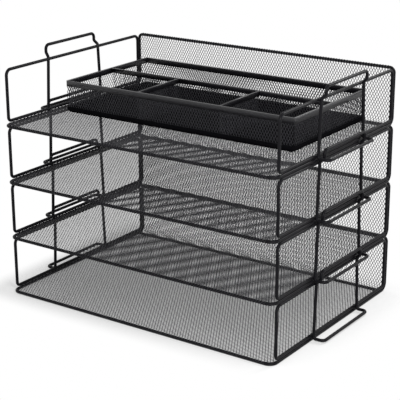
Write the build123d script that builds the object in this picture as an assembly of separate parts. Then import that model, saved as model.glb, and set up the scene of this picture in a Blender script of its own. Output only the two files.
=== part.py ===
"""Tiered desk tray: a stack of four wire-framed mesh trays, with a divided mesh caddy lying in the top one.

Millimetres, +Z up, front of the trays towards -Y. The origin is on the desk, under the middle of the stack.
Each tray is a bent wire frame that carries a mesh floor and a mesh back, with a wire loop standing on each
side and a stacking bracket welded outside each loop. A bracket's foot drops over the bracket below it.
"""
from build123d import *
import os

# Trays: names from the desk up, wire and sheet, and the loops that set the tray's size
TRAY_NAMES = ("bottom_tray", "second_tray", "third_tray", "top_tray")
WIRE_D = 3.2
WIRE_SIDES = 8  # the round wire is drawn with flats, and its bends with chords, to stay light
BEND_CHORDS = 3
SHEET_T = 0.5
LOOP_SPAN = 320.0  # left loop to right loop, wire centres
LOOP_DEPTH = 216.0  # front post to rear post, wire centres
LOOP_HEIGHT = 52.7  # bottom rail to top rail, wire centres
FRONT_REACH = 6.0  # front rim ahead of the front posts
BACK_RISE = 1.2  # back rail above the loops' top rails
REST_GAP = 0.3  # between a frame wire and the rail that it rests on
WELD = 0.1  # how far one wire sinks into another at a weld

# Bends, as radii of the wire's centre line
FRONT_CORNER_R = 8.0
FRAME_BEND_R = 7.5  # where the floor turns up into the back
BACK_CORNER_R = 5.0
LOOP_TOP_R = 6.0
BRACKET_CORNER_R = 4.5
FOOT_BEND_R = 2.4
JOG_R = 3.0

# Stacking brackets: the legs lean together, so that the hook fits inside the foot of the tray above
FOOT_REACH = 11.4  # outwards from the legs
FOOT_DROP = 2.2  # below the loop's bottom rail
FOOT_HALF = 43.7  # half of the foot's length
LEG_TOP_HALF = 40.6
HOOK_HALF = 39.3
HOOK_RISE = 13.0  # above the loop's top rail
JOG_OUT = 4.1
JOG_START = 1.2  # above the top rail
JOG_END = 5.2

# Mesh: diamonds across and along each panel, far coarser than the real sheet's
FLOOR_CELLS = (8, 3)
BACK_CELLS = (8, 1)
CADDY_LONG_CELLS = (8, 1)
CADDY_SIDE_CELLS = (4, 1)
CADDY_SHORT_CELLS = (2, 1)
CELL_OPEN = 0.8  # a gap's width over its pitch
TRAY_SELVAGE = 4.0  # plain edge round a tray's mesh
CADDY_SELVAGE = 2.0

# Caddy: mesh walls in a steel base pan, with a folded strip round the rim and over each divider
CADDY_WIDTH = 275.0
CADDY_DEPTH = 139.0
CADDY_HEIGHT = 34.0
CADDY_FRONT_Y = -43.0
CADDY_CORNER_R = 2.0
PAN_HEIGHT = 6.5  # up to the edge of its lip
PAN_BEND_R = 5.0  # outside the bend between the pan's floor and its lip
FRONT_ROW_DEPTH = 74.0  # from the caddy's front to its long divider
SHORT_DIVIDERS_X = {"left": -46.0, "right": 53.0}
STRIP_T = 0.7
RIM_HEIGHT = 6.0
CAP_HEIGHT = 5.0
CADDY_GAP = 0.3  # above the tray's floor

# Places worked out from the sizes above, in the bottom tray
WIRE_R = WIRE_D / 2
FRAME_DROP = WIRE_D + SHEET_T  # from a loop's wire to the frame's, with the sheet between them
FRAME_Z = WIRE_R
RAIL_Z = FRAME_Z + FRAME_DROP
TOP_RAIL_Z = RAIL_Z + LOOP_HEIGHT
BACK_RAIL_Z = TOP_RAIL_Z + BACK_RISE
TRAY_PITCH = LOOP_HEIGHT + WIRE_D + REST_GAP + FRAME_DROP
SIDE_X = LOOP_SPAN / 2
BACK_Y = (FRONT_REACH + LOOP_DEPTH + FRAME_DROP) / 2
FRONT_Y = -BACK_Y
POST_FRONT_Y = FRONT_Y + FRONT_REACH
POST_REAR_Y = POST_FRONT_Y + LOOP_DEPTH
LOOP_MID_Y = (POST_FRONT_Y + POST_REAR_Y) / 2
FLOOR_Z = FRAME_Z + WIRE_R  # underside of the floor's sheet
SHEET_BACK_Y = BACK_Y - WIRE_R  # rear face of the back's sheet
BEND_START_Y = BACK_Y - FRAME_BEND_R
BEND_END_Z = FRAME_Z + FRAME_BEND_R
NOTCH_X = SIDE_X - WIRE_R - WELD  # the sheets pass between the frame's bends


def wire_section():
    """The wire's cross-section, with flats that are level and upright."""
    return RegularPolygon(WIRE_R, WIRE_SIDES, major_radius=False, rotation=180 / WIRE_SIDES)


def half_wire(points, radii):
    """A wire along straight runs joined by tangent bends, starting on a level run, with flat ends."""
    bent = FilletPolyline(*points, radius=radii)
    stations = [bent @ 0]
    for run in bent.edges():
        chords = BEND_CHORDS if run.geom_type == GeomType.CIRCLE else 1
        stations += [run @ (step / chords) for step in range(1, chords + 1)]
    path = Polyline(*stations)
    start = Plane(origin=path @ 0, x_dir=(0, 0, 1), z_dir=path % 0)
    return sweep(start * wire_section(), path=path, transition=Transition.RIGHT)


def closed_wire(points, radii, middle):
    """A closed wire: one half, and its mirror image in the plane where the two are welded."""
    half = half_wire(points, radii)
    return half + mirror(half, about=middle)


def diamonds(low, high, cells):
    """Outlines of staggered diamond gaps that fill a rectangle, cut in half along its edges."""
    (x0, y0), (x1, y1) = low, high
    across, along = cells
    step_x, step_y = (x1 - x0) / (2 * across), (y1 - y0) / (2 * along)
    reach_x, reach_y = step_x * CELL_OPEN, step_y * CELL_OPEN
    outlines = []
    for row in range(2 * along + 1):
        for column in range((row + 1) % 2, 2 * across + 1, 2):
            x, y = x0 + column * step_x, y0 + row * step_y
            left, right = max(x - reach_x, x0), min(x + reach_x, x1)
            bottom, top = max(y - reach_y, y0), min(y + reach_y, y1)
            corners = dict.fromkeys([(left, y), (x, bottom), (right, y), (x, top)])
            outlines.append(Wire(Polyline(*corners, close=True).edges()))
    return outlines


def mesh_sheet(plane, border, low, high, cells):
    """A flat sheet with diamond gaps between two corners, given its thickness along the plane's normal."""
    pierced = Face(border.face().outer_wire(), diamonds(low, high, cells))
    return extrude(plane * pierced, amount=SHEET_T, dir=plane.z_dir)


def plain_mesh(plane, width, height, cells, round_feet=0):
    """A mesh sheet of the caddy, with its first corner at the plane's origin.

    As many of its lower corners, from the first one on, are rounded to clear the base pan's bends.
    """
    border = Rectangle(width, height, align=Align.MIN)
    feet = border.vertices().sort_by(Axis.Y)[:2].sort_by(Axis.X)[:round_feet]
    if feet:
        border = fillet(feet, PAN_BEND_R - STRIP_T)
    low = (CADDY_SELVAGE, CADDY_SELVAGE)
    high = (width - CADDY_SELVAGE, height - CADDY_SELVAGE)
    return mesh_sheet(plane, border, low, high, cells)


def facing_front(x, rear_y, z):
    """Plane of a sheet that runs left to right, from its left lower corner at the back."""
    return Plane(origin=(x, rear_y, z), x_dir=(1, 0, 0), z_dir=(0, -1, 0))


def facing_right(left_x, y, z):
    """Plane of a sheet that runs front to back, from its front lower corner on the left."""
    return Plane(origin=(left_x, y, z), x_dir=(0, 1, 0), z_dir=(1, 0, 0))


def tray_frame():
    """The frame: front rim, side runs, rear posts and back rail, bent from one wire."""
    points = [
        (0, FRONT_Y, FRAME_Z),
        (SIDE_X, FRONT_Y, FRAME_Z),
        (SIDE_X, BACK_Y, FRAME_Z),
        (SIDE_X, BACK_Y, BACK_RAIL_Z),
        (0, BACK_Y, BACK_RAIL_Z),
    ]
    return closed_wire(points, [FRONT_CORNER_R, FRAME_BEND_R, BACK_CORNER_R], Plane.YZ)


def cross_wire():
    """A straight wire across the frame, under the fold between floor and back."""
    y = BEND_START_Y - WIRE_R
    end_x = SIDE_X - WIRE_R + WELD
    left_end = Plane(origin=(-end_x, y, FRAME_Z), z_dir=(1, 0, 0))
    return extrude(left_end * wire_section(), amount=2 * end_x)


def side_loop(side):
    """A wire loop standing on the floor's sheet, over the frame's side run."""
    x = side * SIDE_X
    points = [
        (x, LOOP_MID_Y, TOP_RAIL_Z),
        (x, POST_FRONT_Y, TOP_RAIL_Z),
        (x, POST_FRONT_Y, RAIL_Z),
        (x, LOOP_MID_Y, RAIL_Z),
    ]
    bottom_r = FRAME_BEND_R - FRAME_DROP  # nests in the frame's bend
    return closed_wire(points, [LOOP_TOP_R, bottom_r], Plane.XZ.offset(-LOOP_MID_Y))


def bracket(side):
    """A stacking bracket: foot, legs welded outside the loop's rails, outward jog and hook."""
    leg_x = SIDE_X + WIRE_D - WELD
    foot_x = leg_x + FOOT_REACH
    hook_x = leg_x + JOG_OUT
    foot_y = LOOP_MID_Y - FOOT_HALF
    leg_y = LOOP_MID_Y - LEG_TOP_HALF
    hook_y = LOOP_MID_Y - HOOK_HALF
    foot_z = RAIL_Z - FOOT_DROP
    hook_z = TOP_RAIL_Z + HOOK_RISE
    points = [
        (side * foot_x, LOOP_MID_Y, foot_z),
        (side * foot_x, foot_y, foot_z),
        (side * leg_x, foot_y, foot_z),
        (side * leg_x, leg_y, TOP_RAIL_Z + JOG_START),
        (side * hook_x, hook_y, TOP_RAIL_Z + JOG_END),
        (side * hook_x, hook_y, hook_z),
        (side * hook_x, LOOP_MID_Y, hook_z),
    ]
    radii = [BRACKET_CORNER_R, FOOT_BEND_R, JOG_R, JOG_R, BRACKET_CORNER_R]
    return closed_wire(points, radii, Plane.XZ.offset(-LOOP_MID_Y))


def floor_mesh():
    """The floor's sheet, lying on the frame from its front rim to the back's sheet."""
    rear_y = SHEET_BACK_Y - SHEET_T
    front_part = Rectangle(2 * SIDE_X, BEND_START_Y - FRONT_Y, align=(Align.CENTER, Align.MIN))
    rounded_front = fillet(front_part.vertices().sort_by(Axis.Y)[:2], FRONT_CORNER_R)
    tongue_length = rear_y - FRONT_Y - FRONT_CORNER_R
    tongue = Rectangle(2 * NOTCH_X, tongue_length, align=(Align.CENTER, Align.MIN))
    border = Pos(0, FRONT_Y) * (rounded_front + Pos(0, FRONT_CORNER_R) * tongue)
    low = (TRAY_SELVAGE - SIDE_X, FRONT_Y + TRAY_SELVAGE)
    high = (SIDE_X - TRAY_SELVAGE, rear_y - TRAY_SELVAGE)
    return mesh_sheet(Plane.XY.offset(FLOOR_Z), border, low, high, FLOOR_CELLS)


def back_mesh():
    """The back's sheet, in front of the rear posts, from the floor up to the back rail."""
    height = BACK_RAIL_Z - FLOOR_Z
    upper_part = Rectangle(2 * SIDE_X, BACK_RAIL_Z - BEND_END_Z, align=(Align.CENTER, Align.MAX))
    rounded_top = fillet(upper_part.vertices().sort_by(Axis.Y)[-2:], BACK_CORNER_R)
    tongue = Rectangle(2 * NOTCH_X, height - BACK_CORNER_R, align=(Align.CENTER, Align.MAX))
    border = rounded_top + Pos(0, -BACK_CORNER_R) * tongue
    plane = facing_front(0, SHEET_BACK_Y, BACK_RAIL_Z)
    low = (TRAY_SELVAGE - SIDE_X, TRAY_SELVAGE - height)
    high = (SIDE_X - TRAY_SELVAGE, -TRAY_SELVAGE)
    return mesh_sheet(plane, border, low, high, BACK_CELLS)


def tray_pieces():
    """The pieces of one tray, where the bottom tray has them."""
    return {
        "frame": tray_frame(),
        "cross_wire": cross_wire(),
        "floor_mesh": floor_mesh(),
        "back_mesh": back_mesh(),
        "left_loop": side_loop(-1),
        "right_loop": side_loop(1),
        "left_bracket": bracket(-1),
        "right_bracket": bracket(1),
    }


def folded_strip(length, width, height):
    """A strip folded over the top edge of a sheet: a channel that is open below, along X from its left end."""
    channel = Pos(0, 0, -height) * Box(length, width, height, align=(Align.MIN, Align.CENTER, Align.MIN))
    slot_height = height - STRIP_T
    slot = Pos(0, 0, -height) * Box(length, SHEET_T, slot_height, align=(Align.MIN, Align.CENTER, Align.MIN))
    return channel - slot


def tub(width, depth, bend_r):
    """A block with round lower edges, mitred at the corners, where two round-bottomed troughs cross."""
    sections = []
    for length in (width, depth):
        block = Rectangle(length, PAN_HEIGHT, align=(Align.CENTER, Align.MIN))
        sections.append(fillet(block.vertices().sort_by(Axis.Y)[:2], bend_r))
    across, along = sections
    return extrude(Plane.XZ * across, depth / 2, both=True) & extrude(Plane.YZ * along, width / 2, both=True)


def base_pan():
    """The caddy's base, centred on its underside: one sheet with its edges bent up into a low lip."""
    corners = extrude(RectangleRounded(CADDY_WIDTH, CADDY_DEPTH, CADDY_CORNER_R), PAN_HEIGHT)
    inside = tub(CADDY_WIDTH - 2 * STRIP_T, CADDY_DEPTH - 2 * STRIP_T, PAN_BEND_R - STRIP_T)
    return (tub(CADDY_WIDTH, CADDY_DEPTH, PAN_BEND_R) & corners) - Pos(0, 0, STRIP_T) * inside


def caddy_pieces():
    """The caddy's pieces, lying on the floor of the top tray."""
    floor_z = FLOOR_Z + SHEET_T + CADDY_GAP + TRAY_PITCH * (len(TRAY_NAMES) - 1)
    top_z = floor_z + CADDY_HEIGHT
    wall_z = floor_z + PAN_BEND_R  # the walls' lower edges stand inside the pan's lip
    wall_height = top_z - STRIP_T - wall_z
    divider_z = floor_z + STRIP_T
    divider_height = top_z - STRIP_T - divider_z
    strip_width = SHEET_T + 2 * STRIP_T
    mid_y = CADDY_FRONT_Y + CADDY_DEPTH / 2
    left_x, right_x = STRIP_T - CADDY_WIDTH / 2, CADDY_WIDTH / 2 - STRIP_T
    front_y, rear_y = CADDY_FRONT_Y + STRIP_T, CADDY_FRONT_Y + CADDY_DEPTH - STRIP_T
    wide, deep = right_x - left_x, rear_y - front_y

    front_plane = facing_front(left_x, front_y + SHEET_T, wall_z)
    rear_plane = facing_front(left_x, rear_y, wall_z)
    side_depth = deep - 2 * SHEET_T
    left_plane = facing_right(left_x, front_y + SHEET_T, wall_z)
    right_plane = facing_right(right_x - SHEET_T, front_y + SHEET_T, wall_z)
    front_wall = plain_mesh(front_plane, wide, wall_height, CADDY_LONG_CELLS)
    rear_wall = plain_mesh(rear_plane, wide, wall_height, CADDY_LONG_CELLS)
    left_wall = plain_mesh(left_plane, side_depth, wall_height, CADDY_SIDE_CELLS)
    right_wall = plain_mesh(right_plane, side_depth, wall_height, CADDY_SIDE_CELLS)

    outside = RectangleRounded(CADDY_WIDTH, CADDY_DEPTH, CADDY_CORNER_R)
    inside = Rectangle(CADDY_WIDTH - 2 * strip_width, CADDY_DEPTH - 2 * strip_width)
    slot = Rectangle(wide, deep) - Rectangle(wide - 2 * SHEET_T, deep - 2 * SHEET_T)
    band = extrude(outside - inside, amount=RIM_HEIGHT) - extrude(slot, amount=RIM_HEIGHT - STRIP_T)
    rim = Pos(0, mid_y, top_z - RIM_HEIGHT) * band

    inner_left = strip_width - CADDY_WIDTH / 2
    inner_wide = CADDY_WIDTH - 2 * strip_width
    divider_y = CADDY_FRONT_Y + FRONT_ROW_DEPTH
    long_plane = facing_front(inner_left, divider_y + SHEET_T / 2, divider_z)
    pieces = {
        "caddy_base_pan": Pos(0, mid_y, floor_z) * base_pan(),
        "caddy_front_wall": front_wall,
        "caddy_rear_wall": rear_wall,
        "caddy_left_wall": left_wall,
        "caddy_right_wall": right_wall,
        "caddy_rim": rim,
        "caddy_long_divider": plain_mesh(long_plane, inner_wide, divider_height, CADDY_LONG_CELLS, round_feet=2),
        "caddy_long_cap": Pos(inner_left, divider_y, top_z) * folded_strip(inner_wide, strip_width, CAP_HEIGHT),
    }
    short_front = CADDY_FRONT_Y + strip_width
    short_depth = divider_y - strip_width / 2 - short_front
    for name, x in SHORT_DIVIDERS_X.items():
        plane = facing_right(x - SHEET_T / 2, short_front, divider_z)
        cap = folded_strip(short_depth, strip_width, CAP_HEIGHT)
        divider = plain_mesh(plane, short_depth, divider_height, CADDY_SHORT_CELLS, round_feet=1)
        pieces[f"caddy_{name}_divider"] = divider
        pieces[f"caddy_{name}_cap"] = Pos(x, short_front, top_z) * Rot(0, 0, 90) * cap
    return pieces


os.makedirs("parts", exist_ok=True)
one_tray = tray_pieces()
for level, tray in enumerate(TRAY_NAMES):
    for piece, shape in one_tray.items():
        export_step(Pos(0, 0, level * TRAY_PITCH) * shape, f"parts/{tray}_{piece}.step")
for piece, shape in caddy_pieces().items():
    export_step(shape, f"parts/{piece}.step")
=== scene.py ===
"""Tiered desk tray: four stacked trays of coated wire and mesh, and a divided caddy in the top one."""
import math

import bpy
import numpy as np
from mathutils import Matrix, Vector


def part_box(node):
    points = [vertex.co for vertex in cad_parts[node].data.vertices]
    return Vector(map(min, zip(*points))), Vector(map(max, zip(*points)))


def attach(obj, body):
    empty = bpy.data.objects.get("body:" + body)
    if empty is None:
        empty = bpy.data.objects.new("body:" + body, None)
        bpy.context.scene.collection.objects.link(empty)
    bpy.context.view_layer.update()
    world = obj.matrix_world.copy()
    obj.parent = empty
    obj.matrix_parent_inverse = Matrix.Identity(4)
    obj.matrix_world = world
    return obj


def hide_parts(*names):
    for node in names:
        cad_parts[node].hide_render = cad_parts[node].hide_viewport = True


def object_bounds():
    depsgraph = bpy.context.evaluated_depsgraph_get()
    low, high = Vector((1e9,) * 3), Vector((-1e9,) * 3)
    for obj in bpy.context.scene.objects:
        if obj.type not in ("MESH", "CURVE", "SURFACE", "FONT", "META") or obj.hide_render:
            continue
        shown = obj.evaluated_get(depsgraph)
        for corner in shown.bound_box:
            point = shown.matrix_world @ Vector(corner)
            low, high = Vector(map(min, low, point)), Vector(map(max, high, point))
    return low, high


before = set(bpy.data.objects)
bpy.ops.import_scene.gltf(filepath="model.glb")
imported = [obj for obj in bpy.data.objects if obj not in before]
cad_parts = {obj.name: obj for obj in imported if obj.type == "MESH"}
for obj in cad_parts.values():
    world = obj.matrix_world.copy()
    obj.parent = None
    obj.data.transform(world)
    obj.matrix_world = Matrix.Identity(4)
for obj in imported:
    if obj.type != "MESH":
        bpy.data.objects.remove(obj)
cad_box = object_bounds()


# Frames. Each tray is carried by one length of round steel wire, bent into front rim, side runs, rear posts
# and back rail, with its ends butt welded. The finish on the whole tray is black powder, sprayed on dry and
# baked, which leaves a faint pebbled skin between matt and satin.
MM = 0.001
TRAYS = ("bottom_tray", "second_tray", "third_tray", "top_tray")
LIFT = {tray: Vector((0, 0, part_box(f"{tray}_frame")[0].z)) for tray in TRAYS}
cross_low, cross_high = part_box("bottom_tray_cross_wire")
frame_low, frame_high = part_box("bottom_tray_frame")
WIRE_R = (cross_high.z - cross_low.z) / 2
SIDE_X = frame_high.x - WIRE_R
FRONT_Y = frame_low.y + WIRE_R
BACK_Y = frame_high.y - WIRE_R
FRAME_Z = frame_low.z + WIRE_R
BACK_RAIL_Z = frame_high.z - WIRE_R
FRONT_CORNER_R = 8 * MM
FLOOR_BEND_R = 7.5 * MM
BACK_CORNER_R = 5 * MM
WIRE_SIDES = 24
BEND_STEPS = 12


def unit(vectors):
    """Each vector divided by its own length."""
    return vectors / np.linalg.norm(vectors, axis=-1, keepdims=True)


def bent_path(corners, radii):
    """Closed centre line and its directions: straight runs, joined at each corner by an arc of that radius.

    Before a corner the line runs along `ahead`, and `aside` is square to it, towards the turn. The arc
    begins r tan(turn / 2) short of the corner, and goes on as start + r (sin a ahead + (1 - cos a) aside),
    with a from 0 to the turn.
    """
    corners = np.array(corners, float)
    radius = np.array(radii, float)[:, None]
    ahead = unit(corners - np.roll(corners, 1, axis=0))
    onward = np.roll(ahead, -1, axis=0)
    cosine = np.sum(ahead * onward, axis=1, keepdims=True)
    turn = np.arccos(cosine)
    aside = (onward - cosine * ahead) / np.sin(turn)
    start = corners - ahead * radius * np.tan(turn / 2)
    angle = (turn * np.linspace(0, 1, BEND_STEPS + 1))[:, :, None]
    ahead, aside = ahead[:, None], aside[:, None]
    arc = start[:, None] + radius[:, None] * (np.sin(angle) * ahead + (1 - np.cos(angle)) * aside)
    direction = np.cos(angle) * ahead + np.sin(angle) * aside
    return arc.reshape(-1, 3), direction.reshape(-1, 3)


def carried(profile, line, direction, across):
    """A flat profile (p, q) carried along a line: line + p side + q top, one ring of points for each place.

    The side is `across`, one vector or one for each place, made square to the direction, and the top is
    direction x side.
    """
    side = unit(across - np.sum(direction * across, axis=1, keepdims=True) * direction)
    top = np.cross(direction, side)
    rings = line[:, None] + profile[None, :, :1] * side[:, None] + profile[None, :, 1:] * top[:, None]
    return rings.reshape(-1, 3)


def ring_faces(rings, sides):
    """Four-sided faces round closed rings, each ring joined to the next and the last one to the first."""
    index = np.arange(rings * sides).reshape(rings, sides)
    round_on = np.roll(index, -1, axis=1)
    corners = [index, round_on, np.roll(round_on, -1, axis=0), np.roll(index, -1, axis=0)]
    return np.stack(corners, -1).reshape(-1, 4)


def circle(radius, sides):
    """Points (r cos t, r sin t) of a circle, counted anticlockwise."""
    turn = np.linspace(0, 2 * np.pi, sides, endpoint=False)
    return radius * np.stack([np.cos(turn), np.sin(turn)], -1)


def bent_wire(corners, radii, across):
    """A closed round wire along straight runs and bends, none of which runs along `across`."""
    line, direction = bent_path(corners, radii)
    points = carried(circle(WIRE_R, WIRE_SIDES), line, direction, across)
    return points, [ring_faces(len(line), WIRE_SIDES)]


def add_piece(name, points, faces, material, body, slot, *nodes):
    """Puts points and arrays of faces into a smooth mesh that rides on a body and stands for its nodes."""
    corners = np.concatenate([part.ravel() for part in faces])
    sizes = np.concatenate([np.full(len(part), part.shape[1]) for part in faces])
    mesh = bpy.data.meshes.new(name)
    mesh.vertices.add(len(points))
    mesh.vertices.foreach_set("co", np.asarray(points, np.float32).ravel())
    mesh.loops.add(len(corners))
    mesh.loops.foreach_set("vertex_index", corners.astype(np.int32))
    mesh.polygons.add(len(sizes))
    mesh.polygons.foreach_set("loop_start", (np.cumsum(sizes) - sizes).astype(np.int32))
    mesh.polygons.foreach_set("use_smooth", np.ones(len(sizes), bool))
    mesh.update(calc_edges=True)
    mesh.materials.append(material)
    piece = bpy.data.objects.new(name, mesh)
    bpy.context.scene.collection.objects.link(piece)
    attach(piece, body)
    if nodes:
        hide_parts(*nodes)


class Socket:
    """A node socket that takes part in Python sums. Each sum adds its Math node to the same tree."""

    def __init__(self, tree, socket=None):
        self.tree = tree
        self.socket = socket

    def node(self, kind, settings, inputs, output=0):
        """Adds a node: its settings first, then a value or a link for each input. Gives one output."""
        made = self.tree.nodes.new(kind)
        for name, value in settings.items():
            setattr(made, name, value)
        for name, value in inputs.items():
            if isinstance(value, Socket):
                self.tree.links.new(value.socket, made.inputs[name])
            else:
                made.inputs[name].default_value = value
        return Socket(self.tree, made.outputs[output]) if made.outputs else None

    def math(self, operation, first, second):
        """A Math node on two numbers or sockets."""
        return self.node("ShaderNodeMath", {"operation": operation}, {0: first, 1: second})

    def __add__(self, other):
        return self.math("ADD", self, other)

    def __radd__(self, other):
        return self.math("ADD", other, self)

    def __sub__(self, other):
        return self.math("SUBTRACT", self, other)

    def __rsub__(self, other):
        return self.math("SUBTRACT", other, self)

    def __mul__(self, other):
        return self.math("MULTIPLY", self, other)

    def __rmul__(self, other):
        return self.math("MULTIPLY", other, self)

    def __or__(self, other):
        return self.math("MAXIMUM", self, other)


def new_tree(name):
    """A material with an empty node tree, and a socket wrapper to start it from."""
    material = bpy.data.materials.new(name)
    material.use_nodes = True
    material.node_tree.nodes.clear()
    return material, Socket(material.node_tree)


CLOUDS_PER_M = 50
CLOUD_DETAIL = 3
CLOUD_MATT = 0.2
PEBBLES_PER_M = 1300
PEBBLE_DETAIL = 1
PEBBLE_MATT = 0.2
PEBBLE_DEPTH = 0.03 * MM
PEBBLE_STRENGTH = 0.6
THICK_TONE = 0.6


def powder_coat(name, tone, satin, gloss):
    """Baked powder. Its tone drifts in slow clouds, from the given one to THICK_TONE times as bright.

    Roughness = satin + CLOUD_MATT (cloud - 0.5) + PEBBLE_MATT (pebble - 0.5). Cloud is noise some 20 mm
    across, and pebble is noise under 1 mm across, which also raises the surface. Gloss is the strength of
    the skin's mirror.
    """
    material, tree = new_tree(name)
    place = tree.node("ShaderNodeTexCoord", {}, {}, "Object")
    slow = {"Vector": place, "Scale": CLOUDS_PER_M, "Detail": CLOUD_DETAIL}
    fine = {"Vector": place, "Scale": PEBBLES_PER_M, "Detail": PEBBLE_DETAIL}
    cloud = tree.node("ShaderNodeTexNoise", {}, slow)
    pebble = tree.node("ShaderNodeTexNoise", {}, fine)
    thin, thick = (*tone, 1), (*(THICK_TONE * value for value in tone), 1)
    drift = tree.node("ShaderNodeMix", {"data_type": "RGBA"}, {0: cloud, 6: thin, 7: thick}, 2)
    raised = {"Strength": PEBBLE_STRENGTH, "Distance": PEBBLE_DEPTH, "Height": pebble}
    skin = tree.node("ShaderNodeBump", {}, raised)
    coat = tree.node("ShaderNodeBsdfPrincipled", {}, {
        "Base Color": drift,
        "Roughness": satin + CLOUD_MATT * (cloud - 0.5) + PEBBLE_MATT * (pebble - 0.5),
        "Specular IOR Level": gloss,
        "Normal": skin,
    })
    tree.node("ShaderNodeOutputMaterial", {}, {"Surface": coat})
    return material


WIRE_TONE = (0.0075, 0.0073, 0.0089)
wire_coat = powder_coat("wire_powder_coat", WIRE_TONE, satin=0.36, gloss=0.07)
frame_corners = [
    (-SIDE_X, FRONT_Y, FRAME_Z),
    (SIDE_X, FRONT_Y, FRAME_Z),
    (SIDE_X, BACK_Y, FRAME_Z),
    (SIDE_X, BACK_Y, BACK_RAIL_Z),
    (-SIDE_X, BACK_Y, BACK_RAIL_Z),
    (-SIDE_X, BACK_Y, FRAME_Z),
]
frame_radii = [FRONT_CORNER_R, FRONT_CORNER_R, FLOOR_BEND_R, BACK_CORNER_R, BACK_CORNER_R, FLOOR_BEND_R]
points, faces = bent_wire(frame_corners, frame_radii, (1, 1, 1))
for tray in TRAYS:
    add_piece(f"{tray}_bent_frame", points + LIFT[tray], faces, wire_coat, tray, "wire", f"{tray}_frame")


# Cross wires. A straight length of the same wire ties the frame's two side runs together, under the fold
# between floor and back. Its cut ends are welded against the insides of the runs.
CROSS_Y = (cross_low.y + cross_high.y) / 2
ends = np.array([(cross_low.x, CROSS_Y, FRAME_Z), (cross_high.x, CROSS_Y, FRAME_Z)])
along = np.array([(1.0, 0, 0), (1.0, 0, 0)])


def straight_faces(sides):
    """Faces of a straight length with two rings: the sides, and a flat face that closes each end."""
    around = np.arange(sides)
    return [ring_faces(2, sides)[:sides], np.stack([around[::-1], around + sides])]


points = carried(circle(WIRE_R, WIRE_SIDES), ends, along, (0, 1, 0))
faces = straight_faces(WIRE_SIDES)
for tray in TRAYS:
    add_piece(f"{tray}_tie_wire", points + LIFT[tray], faces, wire_coat, tray, "wire", f"{tray}_cross_wire")


# Tray mesh. Floor and back are one sheet of expanded steel, slit and stretched into small diamonds, folded
# up at the rear and rolled over the front rim and the back rail. The loops clamp its sides to the frame.
SHEET_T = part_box("bottom_tray_floor_mesh")[1].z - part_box("bottom_tray_floor_mesh")[0].z
CELL_ACROSS = 3.1 * MM
CELL_ALONG = 5.35 * MM
TRAY_GAP_SHARE = 0.775
LEAST_TILE = 0.3
LATTICE_DIGITS = 6
HEM_STEPS = 3
HEM_ROWS = 2


def diamond_net(half_width, length, border, gap_share, rows=None, steps=1):
    """A flat sheet of diamond gaps parted by strands: points (u, v, w), across, along and out of the sheet.

    A tile is centred on each lattice point whose two indices add up to an odd number, and its outline is
    |x| + |y| = 1 in half cells. Outlines lie at half the thickness above and below, and the edge of the gap,
    the outline times gap_share, lies between them, so a strand has a diamond section. Each side of an
    outline has `steps` parts. `border` gives the half width at v, to which tiles are cut, and `rows` picks
    tiles by their second index.
    """
    across = round(2 * half_width / CELL_ACROSS)
    along = round(length / CELL_ALONG)
    scale = np.array([half_width / across, length / (2 * along), SHEET_T])
    column, row = np.meshgrid(np.arange(1, 2 * across), np.arange(1, 2 * along), indexing="ij")
    chosen = (column + row) % 2 == 1
    if rows is not None:
        chosen &= np.isin(row, rows)
    chosen &= abs(column - across) + LEAST_TILE < border(row * scale[1]) / scale[0]
    centre = np.stack([column[chosen], row[chosen]], -1)[:, None]
    corners = np.array([(1, 0), (0, 1), (-1, 0), (0, -1)])
    part = np.arange(steps)[None, :, None] / steps
    outline = (corners[:, None] * (1 - part) + np.roll(corners, -1, axis=0)[:, None] * part).reshape(-1, 2)
    tiles, sides = len(centre), len(outline)
    flat = np.stack([centre + outline, centre + outline, centre + gap_share * outline], 1)
    height = np.broadcast_to(np.array([0.5, -0.5, 0])[None, :, None, None], (tiles, 3, sides, 1))
    lattice = np.concatenate([flat, height], -1).reshape(-1, 3)
    kept, index = np.unique(np.round(lattice, LATTICE_DIGITS), axis=0, return_inverse=True)
    index = index.reshape(tiles, 3, sides)
    after = np.roll(index, -1, axis=2)
    upper, lower, gap = index[:, 0], index[:, 1], index[:, 2]
    next_upper, next_lower, next_gap = after[:, 0], after[:, 1], after[:, 2]
    over = np.stack([upper, next_upper, next_gap, gap], -1).reshape(-1, 4)
    under = np.stack([gap, next_gap, next_lower, lower], -1).reshape(-1, 4)
    edge = upper.ravel() * len(kept) + next_upper.ravel()
    twin = next_upper.ravel() * len(kept) + upper.ravel()
    rim = ~np.isin(edge, twin)
    cut = np.stack([next_upper, upper, lower, next_lower], -1).reshape(-1, 4)[rim]
    points = kept * scale - np.array([half_width, 0, 0])
    limit = border(points[:, 1])
    points[:, 0] = np.clip(points[:, 0], -limit, limit)
    return points, [over, under, cut]


def joined(*nets):
    """Several nets as one: their points one after another, and their faces counted on."""
    starts = np.cumsum([0] + [len(points) for points, faces in nets])
    all_faces = [part + start for start, (points, faces) in zip(starts, nets) for part in faces]
    return np.concatenate([points for points, faces in nets]), all_faces


PROFILE_SAMPLES = 20001


def folded(points, start, runs):
    """A flat net carried along a bent profile: u stays across, and v runs along the profile in Y and Z.

    Each run is a length and the heading, in degrees, at its end. The heading changes evenly over a run, and
    the profile is the running sum of (cos heading, sin heading). w points to the left of the heading.
    """
    lengths, headings = np.array(runs, float).T
    ends = np.cumsum(lengths)
    fine = np.linspace(0, ends[-1], PROFILE_SAMPLES)
    heading = np.radians(np.interp(fine, ends, headings))
    step = fine[1]
    y = start[0] + step * (np.cumsum(np.cos(heading)) - np.cos(heading[0]) / 2 - np.cos(heading) / 2)
    z = start[1] + step * (np.cumsum(np.sin(heading)) - np.sin(heading[0]) / 2 - np.sin(heading) / 2)
    u, v, w = points.T
    turned = np.interp(v, fine, heading)
    return np.stack([
        u,
        np.interp(v, fine, y) - w * np.sin(turned),
        np.interp(v, fine, z) + w * np.cos(turned),
    ], -1)


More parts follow.
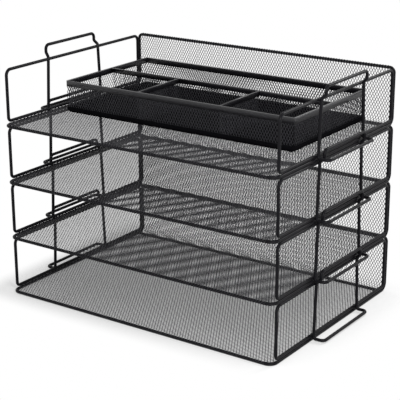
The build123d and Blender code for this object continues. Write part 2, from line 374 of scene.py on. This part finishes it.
ROLL_R = WIRE_R + SHEET_T / 2
FOLD_R = FLOOR_BEND_R - ROLL_R
HEM_ANGLE = 115
RAIL_ANGLE = 100
hem = ROLL_R * math.radians(HEM_ANGLE)
floor_run = BACK_Y - FLOOR_BEND_R - FRONT_Y
fold_run = FOLD_R * math.pi / 2
back_run = BACK_RAIL_Z - FRAME_Z - FLOOR_BEND_R
rail_roll = ROLL_R * math.radians(RAIL_ANGLE)
tray_runs = [
    (0, HEM_ANGLE),
    (hem, 0),
    (floor_run, 0),
    (fold_run, 90),
    (back_run, 90),
    (rail_roll, 90 - RAIL_ANGLE),
]
sheet_length = sum(run for run, heading in tray_runs)
hem_start = (
    FRONT_Y - ROLL_R * math.sin(math.radians(HEM_ANGLE)),
    FRAME_Z + ROLL_R * math.cos(math.radians(HEM_ANGLE)),
)


def sheet_half_width(v):
    """Half width of the tray's sheet at v: SIDE_X, less r - sqrt(r² - c²) in a corner of radius r.

    c is the way into that corner. Inside a roll the width stays at its least.
    """
    front = np.clip(FRONT_CORNER_R + hem - v, 0, FRONT_CORNER_R)
    rear = np.clip(BACK_CORNER_R + rail_roll - (sheet_length - v), 0, BACK_CORNER_R)
    front_loss = FRONT_CORNER_R - np.sqrt(FRONT_CORNER_R**2 - front**2)
    rear_loss = BACK_CORNER_R - np.sqrt(BACK_CORNER_R**2 - rear**2)
    return SIDE_X - front_loss - rear_loss


last_row = 2 * round(sheet_length / CELL_ALONG) - 1
front_rows = np.arange(1, HEM_ROWS + 1)
rail_rows = np.arange(last_row - HEM_ROWS + 1, last_row + 1)
middle_rows = np.arange(HEM_ROWS + 1, last_row - HEM_ROWS + 1)
net, faces = joined(
    diamond_net(SIDE_X, sheet_length, sheet_half_width, TRAY_GAP_SHARE, front_rows, HEM_STEPS),
    diamond_net(SIDE_X, sheet_length, sheet_half_width, TRAY_GAP_SHARE, middle_rows),
    diamond_net(SIDE_X, sheet_length, sheet_half_width, TRAY_GAP_SHARE, rail_rows, HEM_STEPS),
)
points = folded(net, hem_start, tray_runs)
MESH_TONE = (0.024, 0.0236, 0.0284)
mesh_coat = powder_coat("mesh_powder_coat", MESH_TONE, satin=0.4, gloss=0.3)
for tray in TRAYS:
    nodes = f"{tray}_floor_mesh", f"{tray}_back_mesh"
    add_piece(f"{tray}_mesh", points + LIFT[tray], faces, mesh_coat, tray, "mesh", *nodes)


# Side loops. A closed rectangle of wire stands on the mesh over each side run of the frame, welded down
# through the mesh. Its top rail carries the tray above, and its lower corners nest in the frame's bends.
loop_low, loop_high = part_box("bottom_tray_right_loop")
POST_FRONT_Y = loop_low.y + WIRE_R
POST_REAR_Y = loop_high.y - WIRE_R
RAIL_Z = loop_low.z + WIRE_R
TOP_RAIL_Z = loop_high.z - WIRE_R
LOOP_TOP_R = 6 * MM
LOOP_FOOT_R = FLOOR_BEND_R - (RAIL_Z - FRAME_Z)
SIDES = {"left": -1, "right": 1}
for side, sign in SIDES.items():
    loop_corners = [
        (sign * SIDE_X, POST_FRONT_Y, TOP_RAIL_Z),
        (sign * SIDE_X, POST_FRONT_Y, RAIL_Z),
        (sign * SIDE_X, POST_REAR_Y, RAIL_Z),
        (sign * SIDE_X, POST_REAR_Y, TOP_RAIL_Z),
    ]
    points, faces = bent_wire(loop_corners, [LOOP_TOP_R, LOOP_FOOT_R, LOOP_FOOT_R, LOOP_TOP_R], (1, 0, 0))
    for tray in TRAYS:
        node = f"{tray}_{side}_loop"
        name = f"{tray}_{side}_wire_loop"
        add_piece(name, points + LIFT[tray], faces, wire_coat, tray, "wire", node)


# Stacking brackets. One wire makes a flat foot that stands out from the loop, two legs welded outside its
# rails, an outward jog and a hook. The legs lean together, so a hook goes up inside the next tray's foot.
bracket_low, bracket_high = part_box("bottom_tray_right_bracket")
WELD_PRESS = 0.1 * MM
HOOK_OUT = 4.1 * MM
LEG_LEAN = 3.1 * MM
HOOK_LEAN = 4.4 * MM
JOG_START_UP = 1.2 * MM
JOG_END_UP = 5.2 * MM
LEG_X = SIDE_X + 2 * WIRE_R - WELD_PRESS
FOOT_X = bracket_high.x - WIRE_R
HOOK_X = LEG_X + HOOK_OUT
LOOP_MID_Y = (POST_FRONT_Y + POST_REAR_Y) / 2
FOOT_HALF = (bracket_high.y - bracket_low.y) / 2 - WIRE_R
LEG_TOP_HALF = FOOT_HALF - LEG_LEAN
HOOK_HALF = FOOT_HALF - HOOK_LEAN
FOOT_Z = bracket_low.z + WIRE_R
HOOK_Z = bracket_high.z - WIRE_R
JOG_START_Z = TOP_RAIL_Z + JOG_START_UP
JOG_END_Z = TOP_RAIL_Z + JOG_END_UP
BRACKET_CORNER_R = 4.5 * MM
FOOT_BEND_R = 2.4 * MM
JOG_R = 3 * MM
bracket_side = np.array([
    (FOOT_X, -FOOT_HALF, FOOT_Z),
    (LEG_X, -FOOT_HALF, FOOT_Z),
    (LEG_X, -LEG_TOP_HALF, JOG_START_Z),
    (HOOK_X, -HOOK_HALF, JOG_END_Z),
    (HOOK_X, -HOOK_HALF, HOOK_Z),
])
side_radii = [BRACKET_CORNER_R, FOOT_BEND_R, JOG_R, JOG_R, BRACKET_CORNER_R]
bracket_corners = np.concatenate([bracket_side, bracket_side[::-1] * (1, -1, 1)]) + (0, LOOP_MID_Y, 0)
bracket_radii = side_radii + side_radii[::-1]
for side, sign in SIDES.items():
    corners = bracket_corners * (sign, 1, 1)
    points, faces = bent_wire(corners, bracket_radii, (sign, 1, -1))
    for tray in TRAYS:
        node = f"{tray}_{side}_bracket"
        name = f"{tray}_{side}_wire_bracket"
        add_piece(name, points + LIFT[tray], faces, wire_coat, tray, "wire", node)


# Welds. Where two wires cross they are pressed together and spot welded, and the squeezed metal leaves a
# low bead in the corner between them, under the same coat.
BEAD_R = 1.25 * MM
BEAD_RINGS = 7
BEAD_SIDES = 12


def beads(centres, radius):
    """Small balls, centre + r (cos a cos b, cos a sin b, sin a), closed by a pole at each end."""
    height = np.linspace(-np.pi / 2, np.pi / 2, BEAD_RINGS + 2)[1:-1, None]
    turn = np.linspace(0, 2 * np.pi, BEAD_SIDES, endpoint=False)[None]
    east, north = np.cos(height) * np.cos(turn), np.cos(height) * np.sin(turn)
    belt = np.stack([east, north, np.sin(height) * np.ones_like(turn)], -1).reshape(-1, 3)
    ball = np.concatenate([belt, [(0, 0, -1), (0, 0, 1)]]) * radius
    around = np.arange(BEAD_SIDES)
    after = np.roll(around, -1)
    lower_cap = np.stack([after, around, np.full(BEAD_SIDES, len(belt))], -1)
    last = len(belt) - BEAD_SIDES
    upper_cap = np.stack([around + last, after + last, np.full(BEAD_SIDES, len(belt) + 1)], -1)
    quads = ring_faces(BEAD_RINGS, BEAD_SIDES)[:-BEAD_SIDES]
    first = len(ball) * np.arange(len(centres))[:, None, None]
    faces = [(part + first).reshape(-1, part.shape[1]) for part in (quads, lower_cap, upper_cap)]
    return (centres[:, None] + ball).reshape(-1, 3), faces


lean = (FOOT_HALF - LEG_TOP_HALF) / (JOG_START_Z - FOOT_Z)
weld_x = SIDE_X + WIRE_R
crossings = [
    (sign * weld_x, LOOP_MID_Y + end * (FOOT_HALF - lean * (z - FOOT_Z)), z)
    for sign in SIDES.values()
    for end in (-1, 1)
    for z in (RAIL_Z, TOP_RAIL_Z)
]
tie_welds = [(sign * cross_high.x, CROSS_Y, FRAME_Z) for sign in SIDES.values()]
points, faces = beads(np.array(crossings + tie_welds), BEAD_R)
for tray in TRAYS:
    add_piece(f"{tray}_weld_beads", points + LIFT[tray], faces, wire_coat, tray, "wire")


# Caddy base. A pan of thin steel, its four edges bent up into a low lip that holds the feet of the mesh
# walls. Its coat is duller than the rest and painted darker, as painted shade for the dim floor inside the
# caddy, and the lip's cut edge is broken so that the coat holds on it.
pan_low, pan_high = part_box("caddy_base_pan")
PAN_T = 0.7 * MM
PAN_BEND_R = 5 * MM
PAN_CORNER_R = 2 * MM
PAN_FOLD_R = 0.9 * MM
LIP_EDGE_R = 0.25 * MM
PAN_STEPS = 10
CORNER_STEPS = 6
# The pan's tone is darker than the other coats: painted shade for the caddy's shaded floor, not a different
# paint.
PAN_SHADE_TONE = (0.004, 0.0039, 0.0048)
pan_shade_coat = powder_coat("pan_painted_shade_coat", PAN_SHADE_TONE, satin=0.8, gloss=0.01)


def pan_profile(height):
    """Section of the pan, from the middle of its underside round by the lip to the middle of its upper side.

    Gives inset from the outer face and height. The bends are quarter circles about one centre, with radii
    that differ by the sheet's thickness, and two small quarter circles break the lip's edge.
    """
    turn = np.linspace(0, np.pi / 2, PAN_STEPS + 1)
    wave = np.stack([1 - np.sin(turn), 1 - np.cos(turn)], -1)
    outer = PAN_BEND_R * wave
    inner = PAN_T + (PAN_BEND_R - PAN_T) * wave[::-1]
    edge = LIP_EDGE_R * wave[::2]
    lip_out = np.stack([edge[::-1, 0], height - edge[::-1, 1]], -1)
    lip_in = np.stack([PAN_T - edge[:, 0], height - edge[:, 1]], -1)
    return np.concatenate([outer, lip_out, lip_in, inner])


def tub_rings(profile, low, high):
    """A closed ring for each point of a profile: a rectangle as large as low to high, less the inset.

    Its corners are quarter circles of PAN_CORNER_R less the inset, but no tighter than PAN_FOLD_R.
    """
    inset, height = profile[:, :1], profile[:, 1:]
    radius = np.maximum(PAN_CORNER_R - inset, PAN_FOLD_R)
    quarter = np.linspace(0, np.pi / 2, CORNER_STEPS + 1)
    turn = (np.arange(4)[:, None] * np.pi / 2 + quarter).ravel()
    side_x = np.repeat([1, -1, -1, 1], CORNER_STEPS + 1)
    side_y = np.repeat([1, 1, -1, -1], CORNER_STEPS + 1)
    middle, half = (low + high) / 2, (high - low) / 2
    x = middle.x + side_x * (half.x - inset - radius) + radius * np.cos(turn)
    y = middle.y + side_y * (half.y - inset - radius) + radius * np.sin(turn)
    return np.stack([x, y, low.z + height * np.ones_like(x)], -1).reshape(-1, 3)


profile = pan_profile(pan_high.z - pan_low.z)
points = tub_rings(profile, pan_low, pan_high)
ring_size = len(points) // len(profile)
walls = ring_faces(len(profile), ring_size)[:-ring_size]
first_ring = np.arange(ring_size)
underside = first_ring[None, ::-1]
upper_side = (first_ring + len(points) - ring_size)[None]
faces = [walls, underside, upper_side]
add_piece("caddy_steel_pan", points, faces, pan_shade_coat, "caddy", "strip", "caddy_base_pan")


# Caddy walls. Four panels of expanded steel, stretched less than the trays' so that its strands are
# broader, stand inside the pan's lip, spot welded to it and to each other at the corners.
CADDY_GAP_SHARE = 0.74


def upright_panel(node, foot_r=0):
    """A flat net that fills a node's box, standing across X, or turned a quarter so that it runs along Y.

    Its lower corners are rounded by foot_r.
    """
    low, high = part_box(node)
    middle, size = (low + high) / 2, high - low
    runs_across = size.x > size.y
    half = max(size.x, size.y) / 2

    def foot_half_width(v):
        """Half width at height v: below foot_r it is less by r - sqrt(r² - (r - v)²)."""
        return half - foot_r + np.sqrt(foot_r**2 - np.clip(foot_r - v, 0, foot_r)**2)

    net, faces = diamond_net(half, size.z, foot_half_width, CADDY_GAP_SHARE)
    upright = [(0, 90), (size.z, 90)]
    points = folded(net, (0, low.z), upright)
    if not runs_across:
        points = points[:, (1, 0, 2)] * (-1, 1, 1)
    return points + np.array((middle.x, middle.y, 0)), faces


for node in ("caddy_front_wall", "caddy_rear_wall", "caddy_left_wall", "caddy_right_wall"):
    add_piece(f"{node}_mesh", *upright_panel(node), mesh_coat, "caddy", "mesh", node)


# Dividers. One long panel parts the caddy into a front and a rear row, and two short ones part the front
# row into three. They are cut from the same mesh, their lower corners rounded to sit in the pan's bends,
# and are held by the strips over their top edges.
for node in ("caddy_long_divider", "caddy_left_divider", "caddy_right_divider"):
    add_piece(f"{node}_mesh", *upright_panel(node, PAN_BEND_R - PAN_T), mesh_coat, "caddy", "mesh", node)


# Strips. Thin steel folded over every cut top edge, one round the caddy's rim and one on each divider,
# pressed flat against the mesh. The coat lies thicker on the smooth strip and catches the light.
STRIP_T = 0.7 * MM
LIP_R = 0.45 * MM
LIP_STEPS = 6
UP = (0, 0, 1)
STRIP_TONE = (0.01, 0.0096, 0.0121)
strip_coat = powder_coat("strip_powder_coat", STRIP_TONE, satin=0.34, gloss=0.6)


def strip_profile(width, height):
    """Section of a folded strip, top at zero: two rounded top corners, flat sides, a slot for the sheet."""
    turn = np.linspace(0, np.pi / 2, LIP_STEPS + 1)
    half = width / 2
    right = np.stack([half - LIP_R + LIP_R * np.cos(turn), LIP_R * np.sin(turn) - LIP_R], -1)
    left = right[::-1] * (-1, 1)
    slot = SHEET_T / 2
    left_foot = [(-half, -height), (-slot, -height), (-slot, -STRIP_T)]
    right_foot = [(slot, -STRIP_T), (slot, -height), (half, -height)]
    return np.concatenate([right, left, left_foot, right_foot])


rim_low, rim_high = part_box("caddy_rim")
cap_low, cap_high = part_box("caddy_long_cap")
STRIP_WIDTH = cap_high.y - cap_low.y
RIM_CORNER_R = 1.05 * MM
inset = STRIP_WIDTH / 2
rim_corners = [
    (rim_low.x + inset, rim_low.y + inset, rim_high.z),
    (rim_high.x - inset, rim_low.y + inset, rim_high.z),
    (rim_high.x - inset, rim_high.y - inset, rim_high.z),
    (rim_low.x + inset, rim_high.y - inset, rim_high.z),
]
line, direction = bent_path(rim_corners, [RIM_CORNER_R] * 4)
profile = strip_profile(STRIP_WIDTH, rim_high.z - rim_low.z)
points = carried(profile, line, direction, np.cross(UP, direction))
faces = [ring_faces(len(line), len(profile))]
add_piece("caddy_rim_strip", points, faces, strip_coat, "caddy", "strip", "caddy_rim")

for node in ("caddy_long_cap", "caddy_left_cap", "caddy_right_cap"):
    low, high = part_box(node)
    profile = strip_profile(STRIP_WIDTH, high.z - low.z)
    middle = (low + high) / 2
    if high.x - low.x > high.y - low.y:
        line = np.array([(low.x, middle.y, high.z), (high.x, middle.y, high.z)])
    else:
        line = np.array([(middle.x, low.y, high.z), (middle.x, high.y, high.z)])
    direction = unit(np.repeat(line[1:] - line[:1], 2, axis=0))
    points = carried(profile, line, direction, np.cross(UP, direction))
    add_piece(f"{node}_strip", points, straight_faces(len(profile)), strip_coat, "caddy", "strip", node)


# Studio. A white floor that keeps the trays' shadow close by and fades into a white background, even light
# from all round, a soft box at the front right, and a weaker one behind the trays on the same side.
FLOOR_SIZE = 12.0
SHADE_REACH = 0.03
SHADE_GLOW = 0.35
FLOOR_TONE = (0.85, 0.85, 0.85, 1)
WHITE = (1, 1, 1, 1)


def backdrop_ray(tree):
    """1 for what the camera, a mirror or glass sees, and 0 for light that falls on a surface."""
    camera = tree.node("ShaderNodeLightPath", {}, {}, "Is Camera Ray")
    glossy = tree.node("ShaderNodeLightPath", {}, {}, "Is Glossy Ray")
    through = tree.node("ShaderNodeLightPath", {}, {}, "Is Transmission Ray")
    return camera | glossy | through


def outside_footprint(tree):
    """How far a place lies outside the trays' footprint: max(|x| - half width, |y| - half depth)."""
    place = tree.node("ShaderNodeTexCoord", {}, {}, "Object")
    beside = tree.node("ShaderNodeVectorMath", {"operation": "ABSOLUTE"}, {0: place})
    across = tree.node("ShaderNodeSeparateXYZ", {}, {0: beside}, "X")
    along = tree.node("ShaderNodeSeparateXYZ", {}, {0: beside}, "Y")
    return (across - cad_box[1].x) | (along - cad_box[1].y)


material, tree = new_tree("white_floor")
fade = tree.node("ShaderNodeMapRange", {"interpolation_type": "SMOOTHSTEP"}, {
    "Value": outside_footprint(tree),
    "From Min": 0,
    "From Max": SHADE_REACH,
    "To Min": SHADE_GLOW,
    "To Max": 1,
})
paint = tree.node("ShaderNodeBsdfDiffuse", {}, {"Color": FLOOR_TONE})
glow = tree.node("ShaderNodeEmission", {}, {"Color": WHITE, "Strength": 1})
floor_mix = tree.node("ShaderNodeMixShader", {}, {0: backdrop_ray(tree) * fade, 1: paint, 2: glow})
tree.node("ShaderNodeOutputMaterial", {}, {"Surface": floor_mix})
half = FLOOR_SIZE / 2
floor_mesh = bpy.data.meshes.new("studio_floor")
floor_corners = [(-half, -half, 0), (half, -half, 0), (half, half, 0), (-half, half, 0)]
floor_mesh.from_pydata(floor_corners, [], [(0, 1, 2, 3)])
floor_mesh.materials.append(material)
studio_floor = bpy.data.objects.new("studio_floor", floor_mesh)
bpy.context.scene.collection.objects.link(studio_floor)

ROOM_LIGHT = 0.75
world = bpy.data.worlds.new("studio")
world.use_nodes = True
world.node_tree.nodes.clear()
tree = Socket(world.node_tree)
room = tree.node("ShaderNodeBackground", {}, {"Color": WHITE, "Strength": ROOM_LIGHT})
white = tree.node("ShaderNodeBackground", {}, {"Color": WHITE, "Strength": 1})
seen = tree.node("ShaderNodeMixShader", {}, {0: backdrop_ray(tree), 1: room, 2: white})
tree.node("ShaderNodeOutputWorld", {}, {"Surface": seen})
bpy.context.scene.world = world


def soft_box(name, place, aim, size, watts):
    """A square area lamp at a place, turned towards a point."""
    lamp = bpy.data.lights.new(name, "AREA")
    lamp.size = size
    lamp.energy = watts
    light = bpy.data.objects.new(name, lamp)
    light.location = place
    light.rotation_euler = (Vector(aim) - Vector(place)).to_track_quat("-Z", "Y").to_euler()
    bpy.context.scene.collection.objects.link(light)


KEY_PLACE = (0.52, -0.42, 0.42)
KEY_AIM = (0, 0, 0.12)
KEY_SIZE = 0.25
KEY_WATTS = 3
EDGE_PLACE = (0.36, 0.52, 0.55)
EDGE_AIM = (0.1, 0, 0.2)
EDGE_SIZE = 0.2
EDGE_WATTS = 2
soft_box("key_light", KEY_PLACE, KEY_AIM, KEY_SIZE, KEY_WATTS)
soft_box("edge_light", EDGE_PLACE, EDGE_AIM, EDGE_SIZE, EDGE_WATTS)

CAMERA_PLACE = (0.7078, -1.01555, 0.5136)
CAMERA_AZIMUTH = 34.82
CAMERA_ELEVATION = 18.43
CAMERA_ROLL = -0.23
LENS_MM = 113.8
SENSOR_MM = 36
camera_data = bpy.data.cameras.new("photo_camera")
camera_data.lens = LENS_MM
camera_data.sensor_width = SENSOR_MM
camera = bpy.data.objects.new("photo_camera", camera_data)
camera.matrix_world = (
    Matrix.Translation(CAMERA_PLACE)
    @ Matrix.Rotation(math.radians(CAMERA_AZIMUTH), 4, "Z")
    @ Matrix.Rotation(math.radians(90 - CAMERA_ELEVATION), 4, "X")
    @ Matrix.Rotation(math.radians(CAMERA_ROLL), 4, "Z")
)
bpy.context.scene.collection.objects.link(camera)
bpy.context.scene.camera = camera
bpy.context.scene.view_settings.view_transform = "Standard"
